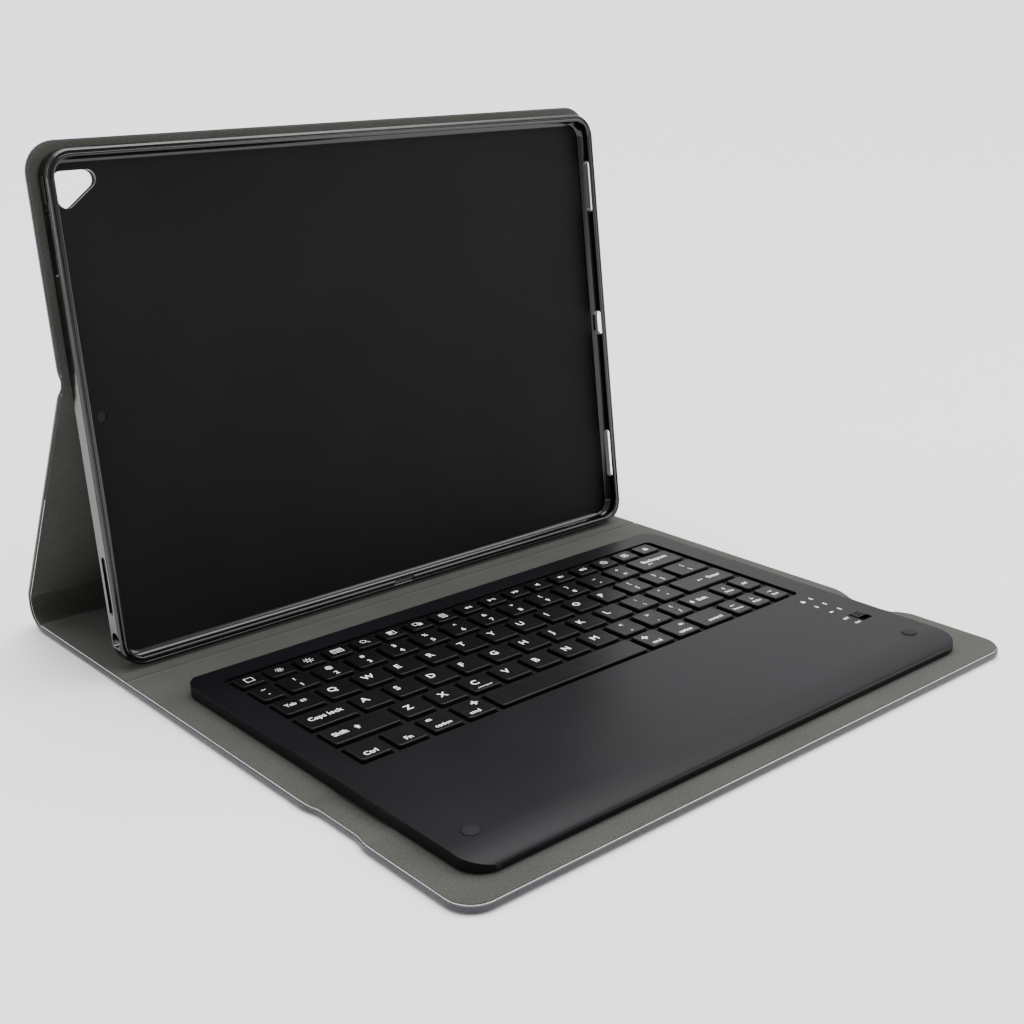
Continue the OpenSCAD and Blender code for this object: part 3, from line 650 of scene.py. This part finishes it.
def key_boxes(node):
    """The lowest and highest corners of each key in a CAD node, from left to right, rear row first."""
    bm = merged(node)
    left, found = set(bm.verts), []
    while left:
        todo = [left.pop()]
        group = []
        while todo:
            v = todo.pop()
            group.append(v.co.copy())
            for edge in v.link_edges:
                other = edge.other_vert(v)
                if other in left:
                    left.remove(other)
                    todo.append(other)
        found.append((Vector(map(min, zip(*group))), Vector(map(max, zip(*group)))))
    bm.free()
    return sorted(found, key=lambda b: (-round(b[0].y), b[0].x))


cap_rings = [(1.1, 1.7), (1.1, 0.05), (0.95, 0), (0.15, 0), (0, 0.15), (0.06, 1.9), (0.14, 2.25),
             (0.26, 2.46), (0.46, 2.57), (0.75, 2.6), (1.8, 2.56), (3.2, 2.52)]
keys = {}
for node, body in key_nodes.items():
    bm = bmesh.new()
    keys[node] = key_boxes(node)
    for low, high in keys[node]:
        depth = min(high.x - low.x, high.y - low.y)
        rings = [(min(i, depth / 2 - 0.6), low.z + z) for i, z in cap_rings]
        stacked(round_corners(low.x, low.y, high.x, high.y, 1.3, 5), rings, bm)
    to_metres(bm)
    caps = finished(node.replace("keys_", "caps_").replace("key_", "cap_"), bm, [abs_key], 40)
    settled(caps)
    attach(caps, body)
    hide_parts(node)

# ---- Legends -----------------------------------------------------------------------------------
# White ink pad-printed on the caps and on the case beside the lights: plain letters, and small signs
# drawn with a pen or as filled shapes. The ink stands a few hundredths of a millimetre proud.
ink_t = 0.03
cap_dish = 0.075        # the print's foot, below the highest edge of its dished cap
capital = 0.73          # height of a capital, as a share of the type's size


def word(bm, text, x, y, z, high, side="middle", thick=0.018):
    """Prints a word whose capitals are that high, with its middle or its left end at x and y."""
    type_curve = bpy.data.curves.new("word", "FONT")
    type_curve.body, type_curve.size = text, high / capital
    type_curve.offset, type_curve.resolution_u = thick * high / capital, 3
    type_curve.extrude = ink_t
    holder = bpy.data.objects.new("word", type_curve)
    mesh = bpy.data.meshes.new_from_object(holder)
    co = np.array([v.co for v in mesh.vertices])
    left, right = co[:, 0].min(), co[:, 0].max()
    anchor = left if side == "left" else (left + right) / 2
    mesh.transform(Matrix.Translation((x - anchor, y - high * 0.5, z)))
    bm.from_mesh(mesh)
    bpy.data.objects.remove(holder)
    bpy.data.curves.remove(type_curve)
    bpy.data.meshes.remove(mesh)


def filled(bm, points, x, y, z):
    """Prints a filled shape."""
    stacked(lambda inset: [(x + a, y + b) for a, b in points], [(0, z), (0, z + ink_t)], bm)


def line(bm, points, x, y, z, closed=False, pen=0.34):
    """A pen line along the points, with mitred corners."""
    p = np.array(points, float) + (x, y)
    step = (np.roll(p, -1, 0) - p) if closed else np.diff(p, axis=0)
    step /= np.linalg.norm(step, axis=1)[:, None]
    after = step if closed else np.vstack([step, step[-1]])
    before = np.roll(step, 1, 0) if closed else np.vstack([step[0], step])
    n = np.stack([-(after + before)[:, 1], (after + before)[:, 0]], 1)
    n *= (pen / (n * n).sum(1))[:, None]
    rails = [[bm.verts.new((*(q + s * m), z + h)) for q, m in zip(p, n)]
             for s, h in ((-1, 0), (1, 0), (1, ink_t), (-1, ink_t))]
    last = len(p) if closed else len(p) - 1
    for a, b in zip(rails, rails[1:] + rails[:1]):
        for i in range(last):
            j = (i + 1) % len(p)
            bm.faces.new((a[i], b[i], b[j], a[j]))
    if not closed:
        bm.faces.new([r[0] for r in reversed(rails)])
        bm.faces.new([r[-1] for r in rails])


def circle(r, x=0, y=0, steps=14):
    return arc(x, y, r, 0, 360 * (steps - 1) / steps, steps - 1)


def box_line(w, h, x=0, y=0):
    return [(x - w / 2, y - h / 2), (x + w / 2, y - h / 2), (x + w / 2, y + h / 2), (x - w / 2, y + h / 2)]


def rays(r0, r1):
    """Eight short rays round a point."""
    turns = [i * math.pi / 4 for i in range(8)]
    return [("line", [(r0 * math.cos(t), r0 * math.sin(t)), (r1 * math.cos(t), r1 * math.sin(t))])
            for t in turns]


def pointer(x, size, way=1):
    """A filled triangle that points right, or left."""
    points = [(x - way * size / 2, -size * 0.6), (x + way * size / 2, 0), (x - way * size / 2, size * 0.6)]
    return ("fill", points[::way])


speaker = ("fill", [(-1.5, -0.5), (-0.8, -0.5), (0.1, -1.2), (0.1, 1.2), (-0.8, 0.5), (-1.5, 0.5)])
signs = {
    "home": [("loop", box_line(3.0, 3.0))],
    "dim": [("loop", circle(0.65)), *rays(1.1, 1.6)],
    "bright": [("loop", circle(0.85)), *rays(1.3, 2.0)],
    "keyboard": [("loop", box_line(4.4, 2.8)), ("line", [(-1.2, -0.7), (1.2, -0.7)]),
                 *[("fill", box_line(0.45, 0.45, x, y)) for x in (-1.4, -0.5, 0.5, 1.4) for y in (0, 0.8)]],
    "search": [("loop", circle(1.1, -0.4, 0.4)), ("line", [(0.4, -0.4), (1.6, -1.5)])],
    "select": [("fill", box_line(1.6, 1.6, -0.4, 0.4)), ("loop", box_line(3.0, 2.6))],
    "copy": [("fill", box_line(1.8, 2.0, 0.7, -0.4)), ("loop", box_line(2.2, 2.2, -0.6, 0.4))],
    "paste": [("loop", box_line(2.4, 3.0)), ("fill", box_line(1.2, 0.7, 0, 1.5)),
              *[("line", [(-0.7, y), (0.7, y)]) for y in (-0.9, -0.1, 0.6)]],
    "back": [pointer(-0.8, 1.6, -1), pointer(0.8, 1.6, -1)],
    "play": [pointer(-0.9, 1.7), ("line", [(0.5, -0.9), (0.5, 0.9)]), ("line", [(1.3, -0.9), (1.3, 0.9)])],
    "next": [pointer(-0.8, 1.6), pointer(0.8, 1.6)],
    "mute": [speaker],
    "quieter": [speaker, ("line", arc(0.2, 0, 0.9, -50, 50, 5))],
    "louder": [speaker, ("line", arc(0.2, 0, 0.9, -50, 50, 5)), ("line", arc(0.2, 0, 1.6, -50, 50, 6))],
    "globe": [("loop", circle(1.5)), ("line", [(-1.5, 0), (1.5, 0)]), ("line", [(0, -1.5), (0, 1.5)])],
    "grid": [("fill", box_line(1.1, 1.1, x, y)) for x in (-0.8, 0.8) for y in (-0.8, 0.8)],
    "lock": [("fill", box_line(2.2, 1.5, 0, -0.6)), ("line", arc(0, 0.2, 0.75, 0, 180, 6))],
    "up": [("line", [(0, -1.1), (0, 1)]), ("line", [(-0.8, 0.3), (0, 1.1), (0.8, 0.3)])],
    "down": [("line", [(0, 1.1), (0, -1)]), ("line", [(-0.8, -0.3), (0, -1.1), (0.8, -0.3)])],
    "left": [("line", [(1.4, 0), (-1.3, 0)]), ("line", [(-0.6, -0.7), (-1.4, 0), (-0.6, 0.7)])],
    "right": [("line", [(-1.4, 0), (1.3, 0)]), ("line", [(0.6, -0.7), (1.4, 0), (0.6, 0.7)])],
    "shift": [("fill", [(-0.5, -1.3), (0.5, -1.3), (0.5, 0.1), (1.1, 0.1), (0, 1.4), (-1.1, 0.1),
                        (-0.5, 0.1)])],
    "tab": [("line", [(-1.3, 0.6), (1.2, 0.6)]), ("line", [(0.7, 0.2), (1.3, 0.6), (0.7, 1.0)]),
            ("line", [(1.3, -0.6), (-1.2, -0.6)]), ("line", [(-0.7, -1.0), (-1.3, -0.6), (-0.7, -0.2)])],
    "four": [("fill", box_line(0.9, 0.9)), *[("fill", box_line(0.8, 0.8, x, y))
             for x, y in ((0, 1), (1, 0), (0, -1), (-1, 0))]],
    "battery": [("fill", box_line(2.0, 1.1)), ("fill", box_line(0.4, 0.6, 1.3, 0))],
    "wave": [("line", [(-0.7, -0.6), (0.6, 0.5), (0, 1.1), (0, -1.1), (0.6, -0.5), (-0.7, 0.6)])],
}


def sign(bm, name, x, y, z, size=1.0):
    """Prints a sign with its middle at x and y."""
    for kind, points in signs[name]:
        points = [(a * size, b * size) for a, b in points]
        if kind == "fill":
            filled(bm, points, x, y, z)
        else:
            line(bm, points, x, y, z, closed=kind == "loop")


def pair(upper, lower):
    """Two characters, one above the other."""
    return [(upper, 0, 2.9, 2.6), (lower, 0, -3.4, 3.0)]


def letter(text, x=-4.4, y=1.0):
    """One letter near the key's rear left corner."""
    return [(text, x, y, 3.9, "left")]


def small(text, way):
    """An arrow over a small word."""
    return [("*" + way, 0, 1.2), (text, 0, -2.5, 1.8)]


# What is printed on each key, from left to right. A word has its place from the key's middle and its
# height; a sign is marked with a star, and has its place and its size.
legends = {
    "keys_function_row": [[("*" + name, 0, 0, 1.25)] for name in (
        "home dim bright keyboard search select copy paste back play next mute quieter louder globe "
        "grid lock").split()],
    "keys_number_row": [pair(*two) for two in "~` !1 @2 #3 $4 %5 ^6 &7 *8 (9 )0 _- +=".split()],
    "key_backspace": [[("Backspace", 0.8, 1.5, 3.1), ("*left", -5.5, -2.5, 1.2)]],
    "key_tab": [[("Tab", -3.6, 0.3, 2.5), ("*tab", 2.8, 0.3)]],
    "keys_upper_letter_row": [letter(c) for c in "QWERTYUIOP"] + [pair(*two) for two in ("{[", "}]", "|\\")],
    "key_caps_lock": [[("Caps lock", 0, 0.5, 3.0)]],
    "keys_home_row": [letter(c) for c in "ASDFGHJKL"] + [pair(*two) for two in (":;", "\"'")],
    "key_enter": [[("*left", -1.3, 0, 1.2), ("Enter", 8.3, 0, 2.9)]],
    "key_shift_left": [[("Shift", -9.2, 0.2, 3.0), ("*shift", -0.8, 0.2, 1.2)]],
    "keys_lower_letter_row": [letter(c, -3.4, 0.4) for c in "ZXCVBNM"] + [
        pair(*two) for two in ("<,", ">.", "?/")],
    "key_shift_right": [[("*shift", -6.4, -0.1, 1.1), ("Shift", 0.4, -0.1, 2.7)]],
    "keys_modifiers_left": [[("Ctrl", -0.9, -3.4, 2.9)], [("Fn", -0.3, -3.4, 2.9)],
                            [("alt", -3.3, 3.0, 2.1), ("option", -0.7, -3.6, 2.3)],
                            [("*four", 2.9, 2.8, 1.25), ("cmd", -1.9, -3.6, 2.4)]],
    "keys_modifiers_right": [[("*four", -2.7, 2.5, 1.25), ("cmd", -1.2, -3.8, 2.4)],
                             [("alt", 3.5, 2.6, 2.1), ("option", 0, -3.8, 2.3)],
                             [("control", 0.8, -3.3, 2.3)]],
    "keys_navigation": [small("PgUp", "up"), [("del", -0.5, -0.4, 2.2)], small("Home", "left"),
                        small("PgDn", "down"), small("End", "right")],
}
c_key = 2
legends["keys_lower_letter_row"][c_key].append(("connect", 0.1, -4.9, 1.8))
for node, rows in legends.items():
    bm = bmesh.new()
    for (low, high), marks in zip(keys[node], rows):
        middle, top = (low + high) / 2, high.z - cap_dish
        for text, x, y, *size in marks:
            is_sign = text[0] == "*" and len(text) > 1
            (sign if is_sign else word)(bm, text[1:] if is_sign else text, middle.x + x, middle.y + y,
                                        top, *size)
    to_metres(bm)
    print_name = node.replace("keys_", "legends_").replace("key_", "legend_")
    printing = finished(print_name, bm, [ink])
    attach(printing, key_nodes[node])

# The case's own printing: signs beside the three lights, and the switch's two places
bm = bmesh.new()
case_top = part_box("keyboard_top_case")[1].z / MM - 0.01
light_low, light_high = (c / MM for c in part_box("led_lenses"))
knob_low, knob_high = (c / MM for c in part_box("switch_knob"))
light_x = (light_low.x + light_high.x) / 2
light_signs = {"battery": 1.3, "wave": 10.0, "lock": 18.4}   # distances from the lenses' front end
for name, behind in light_signs.items():
    sign(bm, name, light_x - 6.2, light_low.y + behind, case_top)
word(bm, "OFF", knob_low.x - 4.6, knob_high.y - 1.9, case_top, 1.6)
word(bm, "ON", knob_low.x - 4.2, knob_high.y - 8.2, case_top, 1.6)
to_metres(bm)
case_print = finished("case_printing", bm, [ink])
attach(case_print, "keyboard")

# ---- Parts taken over from the design ----------------------------------------------------------
# What is inside, and the small plain parts, keep their shape and get their real finishes.


def plain(name, dark, light, grain_mm, depth_mm, **shader):
    """A finish with a fine grain: two close colours and a bump of that grain and depth."""
    made, tree, bsdf, place = material(name, **shader)
    speck = add(tree, "ShaderNodeTexNoise", {"Vector": place, "Scale": 1 / (grain_mm * MM), "Detail": 3.0})
    tree.links.new(ramp(tree, speck.outputs["Fac"], 0.3, 0.7, dark, light), bsdf.inputs["Base Color"])
    bump = add(tree, "ShaderNodeBump", {"Strength": 0.4, "Distance": depth_mm * MM,
                                        "Height": speck.outputs["Fac"]})
    tree.links.new(bump.outputs[0], bsdf.inputs["Normal"])
    return made


greyboard = plain("pressed_grey_board", "#9c8c6e", "#b9a988", 1.5, 0.1, Roughness=0.9)
nickel = plain("nickel_plate", "#a4a6aa", "#b4b6ba", 0.8, 0.02, Roughness=0.25, Metallic=1.0)
steel = plain("brushed_steel", "#8f9196", "#a6a8ad", 0.5, 0.03, Roughness=0.35, Metallic=1.0)
polyester = plain("printed_polyester_film", "#1a1a1d", "#232327", 2.0, 0.01, Roughness=0.3)
silicone = plain("dome_silicone", "#4b4b50", "#5b5b60", 0.6, 0.02, Roughness=0.6)
acetal = plain("moulded_acetal", "#cfcfca", "#dededa", 0.8, 0.01, Roughness=0.4)
solder_mask = plain("green_solder_mask", "#174a2e", "#21603c", 1.0, 0.02, Roughness=0.3)
pouch = plain("aluminium_foil_pouch", "#b8babd", "#cfd0d2", 3.0, 0.08, Roughness=0.3, Metallic=1.0)
foot_rubber = plain("foot_rubber", "#1b1b1d", "#232325", 0.4, 0.03, Roughness=0.8,
                    Specular_IOR_Level=0.15)
bumper_rubber = plain("bumper_silicone", "#0f1013", "#141519", 0.4, 0.02, Roughness=0.6,
                      Specular_IOR_Level=0.15)
knob_abs = plain("satin_ABS_knob", "#08080a", "#0b0b0d", 0.4, 0.01, Roughness=0.4,
                 Specular_IOR_Level=0.15)
lens_acrylic = plain("frosted_acrylic", "#c9ced1", "#dde2e4", 0.5, 0.01, Roughness=0.3)
finishes = {
    greyboard: ["base_board", "flap_board", "stand_board", "upper_board"],
    nickel: ["tray_dock_magnets", "keyboard_hold_magnets", "closure_magnets", "tray_edge_magnets",
             "keyboard_magnets", "charging_socket"],
    steel: ["key_support_plate"],
    polyester: ["contact_membrane"],
    acetal: ["scissor_clips"],
    solder_mask: ["circuit_board"],
    pouch: ["battery_cell"],
    foot_rubber: ["keyboard_feet"],
    bumper_rubber: ["screen_bumpers"],
    lens_acrylic: ["led_lenses"],
    abs_case: ["keyboard_bottom_cover", "switch_body"],
    knob_abs: ["switch_knob"],
    glossy_tpu: ["volume_pad", "power_pad"],
}
for finish, names in finishes.items():
    for name in names:
        frame["nodes"][name].data.materials.clear()
        frame["nodes"][name].data.materials.append(finish)

# ---- Domes and screws --------------------------------------------------------------------------
# Silicone domes under the keys and steel screws in the bottom cover: one shape of each is turned and
# repeated at every place of its kind.


def lathe(name, profile, steps=20):
    """A closed body turned about Z from a profile of radius and height, both ends on the axis."""
    bm = bmesh.new()
    rings = []
    for radius, height in profile:
        turns = [2 * math.pi * i / steps for i in range(steps if radius > 0 else 1)]
        rings.append([bm.verts.new((radius * math.cos(t), radius * math.sin(t), height)) for t in turns])
    for low, high in zip(rings, rings[1:]):
        for i in range(steps):
            j = (i + 1) % steps
            corners = [low[i % len(low)], low[j % len(low)], high[j % len(high)], high[i % len(high)]]
            bm.faces.new(list(dict.fromkeys(corners)))
    to_metres(bm)
    return finished(name, bm, [])


def repeated(name, shape, spots, finish):
    """One plain mesh of a shape set at every spot, placed by a Geometry Nodes tree."""
    nodes = bpy.data.node_groups.new(name, "GeometryNodeTree")
    sides = (("Spots", "INPUT", "NodeSocketGeometry"), ("Shape", "INPUT", "NodeSocketObject"),
             ("Finish", "INPUT", "NodeSocketMaterial"), ("Geometry", "OUTPUT", "NodeSocketGeometry"))
    names = {n: nodes.interface.new_socket(n, in_out=side, socket_type=kind).identifier
             for n, side, kind in sides}
    given = add(nodes, "NodeGroupInput").outputs
    part = add(nodes, "GeometryNodeObjectInfo", {"Object": given["Shape"]}).outputs["Geometry"]
    placed = add(nodes, "GeometryNodeInstanceOnPoints", {"Points": given["Spots"], "Instance": part})
    real = add(nodes, "GeometryNodeRealizeInstances", {"Geometry": placed.outputs[0]})
    set_to = add(nodes, "GeometryNodeSetMaterial", {"Geometry": real.outputs[0], "Material": given["Finish"]})
    add(nodes, "NodeGroupOutput", {"Geometry": set_to.outputs[0]})
    mesh = bpy.data.meshes.new(name)
    mesh.from_pydata([Vector(spot) * MM for spot in spots], [], [])
    obj = bpy.data.objects.new(name, mesh)
    bpy.context.scene.collection.objects.link(obj)
    modifier = obj.modifiers.new("repeat", "NODES")
    modifier.node_group = nodes
    modifier[names["Shape"]], modifier[names["Finish"]] = shape, finish
    result = bpy.data.meshes.new_from_object(obj.evaluated_get(bpy.context.evaluated_depsgraph_get()))
    obj.modifiers.remove(modifier)
    obj.data = result
    remove(shape)
    return obj


def on_boxes(name, node, shape, finish):
    """A shape repeated on the middle of the underside of every body of a CAD node, in its place."""
    spots = [((low.x + high.x) / 2, (low.y + high.y) / 2, low.z) for low, high in key_boxes(node)]
    obj = repeated(name, shape, spots, finish)
    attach(obj, "keyboard")
    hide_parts(node)


# Domes: a foot ring, a thin cone that buckles, and a flat crown under the cap
low, high = key_boxes("key_domes")[0]
dome_r, dome_h = (high.x - low.x) / 2, high.z - low.z
dome = [(0, 0), (dome_r, 0), (dome_r, 0.12), (dome_r * 0.82, 0.2), (dome_r * 0.55, dome_h * 0.78),
        (dome_r * 0.5, dome_h - 0.08), (dome_r * 0.45, dome_h), (0, dome_h)]
on_boxes("dome_array", "key_domes", lathe("dome", dome), silicone)

# Case screws: a flat head with a cross recess below, and a plain shank in the moulding
low, high = key_boxes("case_screws")[0]
head_r, screw_h = (high.x - low.x) / 2, high.z - low.z
shank = [(0, 0), (head_r - 0.1, 0), (head_r, 0.1), (head_r, 0.5), (head_r * 0.5, 0.5),
         (head_r * 0.5, screw_h - 0.3), (head_r * 0.3, screw_h), (0, screw_h)]
screw = lathe("screw", shank)
for half_x, half_y in ((0.2, head_r * 0.6), (head_r * 0.6, 0.2)):
    slot_shape = stacked(round_corners(-half_x, -half_y, half_x, half_y, 0.05, 1), [(0, -0.5), (0, 0.3)])
    to_metres(slot_shape)
    recess = cutter("recess", slot_shape)
    cut_out(screw, recess)
    remove(recess)
on_boxes("screw_array", "case_screws", screw, steel)

# ---- Camera, floor and light -------------------------------------------------------------------
camera = bpy.data.objects.new("camera", bpy.data.cameras.new("camera"))
bpy.context.scene.collection.objects.link(camera)
azimuth, elevation, roll = (math.radians(a) for a in (-40.627, 18.405, -0.789))
back = Vector((math.sin(azimuth) * math.cos(elevation), -math.cos(azimuth) * math.cos(elevation),
               math.sin(elevation)))
across = Vector((0, 0, 1)).cross(back).normalized()
upward = back.cross(across)
camera_x = math.cos(roll) * across + math.sin(roll) * upward
camera_y = -math.sin(roll) * across + math.cos(roll) * upward
camera.matrix_world = Matrix.Translation((-0.413363, -0.489081, 0.275983)) @ Matrix(
    (camera_x, camera_y, back)).transposed().to_4x4()
camera.data.lens, camera.data.sensor_width = 51.64, 36
bpy.context.scene.camera = camera

bm = bmesh.new()
bmesh.ops.create_circle(bm, cap_ends=True, segments=64, radius=60)
white, tree, bsdf, place = material("white_floor", Roughness=0.9, Base_Color=colour("#f4f4f4"))
floor = finished("floor", bm, [white])
floor.location.z = -0.0005

world = bpy.data.worlds.new("studio")
world.use_nodes = True
tree = world.node_tree
# Pale walls, lighter behind and to the right than in front and to the left
way = add(tree, "ShaderNodeTexCoord").outputs["Generated"]
facing = add(tree, "ShaderNodeVectorMath", {0: way, 1: (0.75, 0.6, 0.28)}, operation="DOT_PRODUCT")
bright = add(tree, "ShaderNodeMapRange", {"Value": facing.outputs["Value"], "From Min": -1.0, "To Min": 0.45,
                                          "To Max": 1.25})
# A low band as bright as the floor, so that no edge shows where the floor ends
floor_glow = 2.1
height = add(tree, "ShaderNodeSeparateXYZ", {0: way}).outputs["Z"]
band = add(tree, "ShaderNodeMapRange", {"Value": height, "From Min": 0.03, "From Max": 0.07,
                                        "To Min": 1.0, "To Max": 0.0}, interpolation_type="SMOOTHSTEP")
lit = add(tree, "ShaderNodeMix", {"Factor": band.outputs[0], 2: bright.outputs[0], 3: floor_glow})
tree.links.new(lit.outputs[0], tree.nodes["Background"].inputs["Strength"])
tree.nodes["Background"].inputs["Color"].default_value = (1, 1, 1, 1)
bpy.context.scene.world = world


def softbox(name, place, aim, width, height, power):
    """A rectangular area light facing a point."""
    light = bpy.data.lights.new(name, "AREA")
    light.shape, light.size, light.size_y, light.energy = "RECTANGLE", width, height, power
    obj = bpy.data.objects.new(name, light)
    obj.location = place
    obj.rotation_euler = (Vector(aim) - Vector(place)).to_track_quat("-Z", "Y").to_euler()
    bpy.context.scene.collection.objects.link(obj)


# An even overhead light, as wide and soft as a studio ceiling
sky = bpy.data.lights.new("overhead", "SUN")
sky.energy, sky.angle = 4.7, math.radians(60)
overhead = bpy.data.objects.new("overhead", sky)
overhead.rotation_euler = (-Vector((0.5, 0.4, 2.4))).to_track_quat("-Z", "Y").to_euler()
bpy.context.scene.collection.objects.link(overhead)
softbox("front_right", (1.2, -1.1, 0.8), (0, 0, 0.05), 1.0, 0.8, 10)
softbox("left_strip", (-1.1, 0.5, 0.5), (0, 0.1, 0.12), 0.12, 0.9, 2.5)
